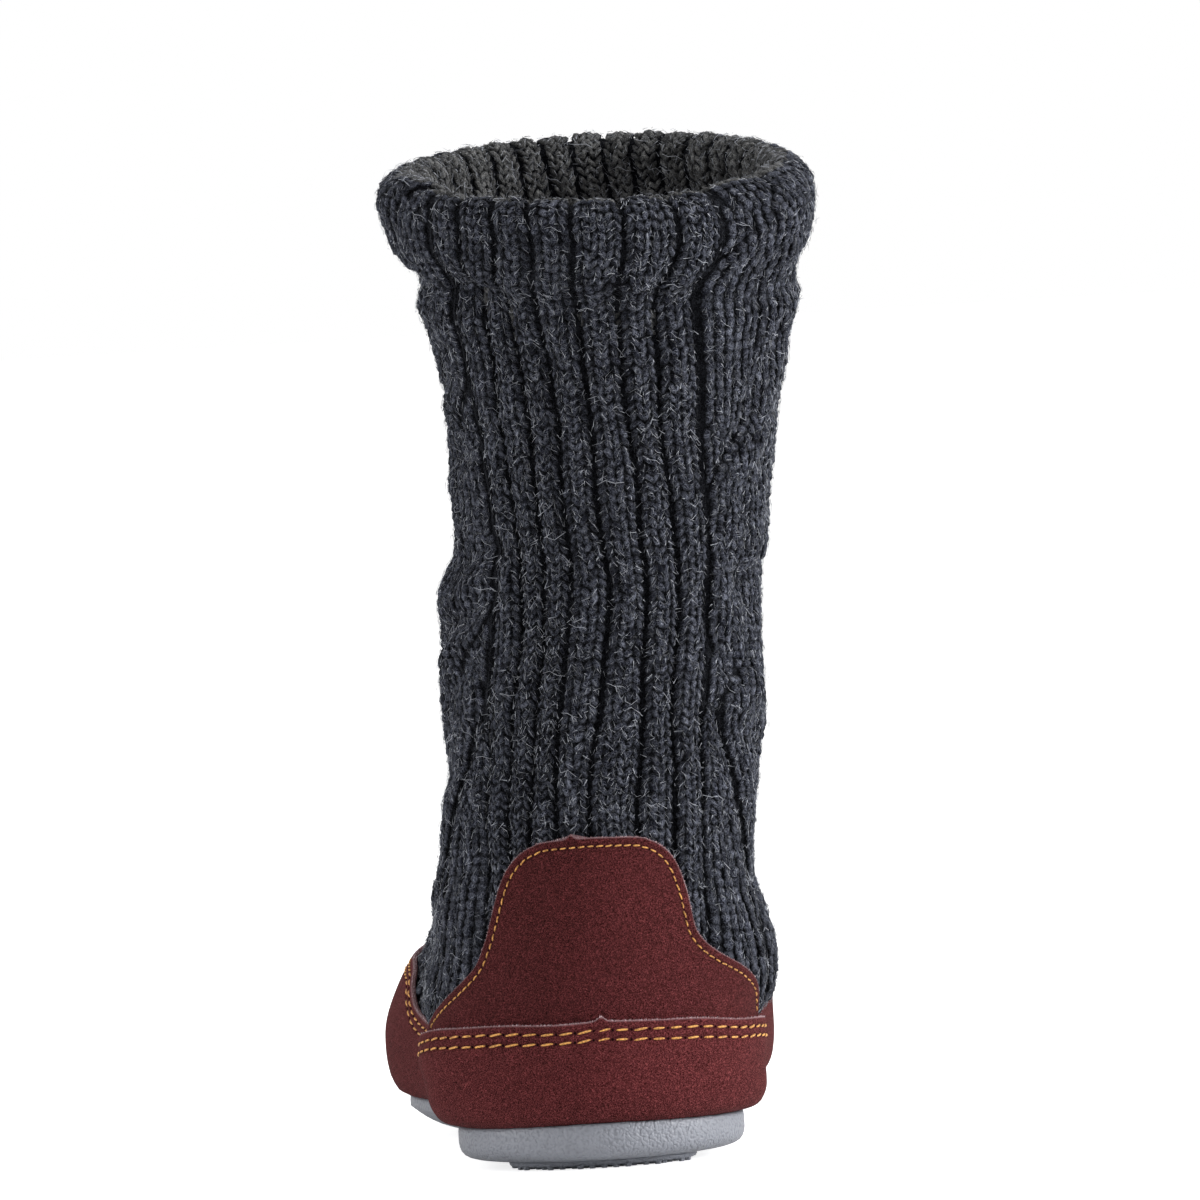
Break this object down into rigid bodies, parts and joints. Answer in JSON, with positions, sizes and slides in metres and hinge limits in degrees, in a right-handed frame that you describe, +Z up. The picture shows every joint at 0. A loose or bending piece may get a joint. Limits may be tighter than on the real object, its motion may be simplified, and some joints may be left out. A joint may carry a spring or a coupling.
{
  "type": "boot slipper",
  "caption": "Left boot slipper: ribbed knit upper with a rolled collar, suede foxing and heel patch, moulded sole with tread pads, and an insole.",
  "frame": {"origin": "on the floor, under the middle of the whole shoe's outer box", "axes": "+Z up, +Y towards the toe, +X towards the wearer's right, which is this left shoe's medial side"},
  "size_m": [0.1234, 0.2846, 0.2596],
  "materials": {
    "outsole": "moulded grey rubber with a fine leather grain",
    "insole": "dark napped fabric",
    "knit_upper": "thick charcoal wool knit, brushed",
    "heel_foxing": "dark red suede",
    "toe_foxing": "dark red suede",
    "heel_patch": "dark red suede"
  },
  "bodies": {
    "root": {"outsole": "outsole", "insole": "insole", "knit_upper": "knit_upper", "heel_foxing": "heel_foxing", "toe_foxing": "toe_foxing", "heel_patch": "heel_patch"}
  },
  "joints": []
}
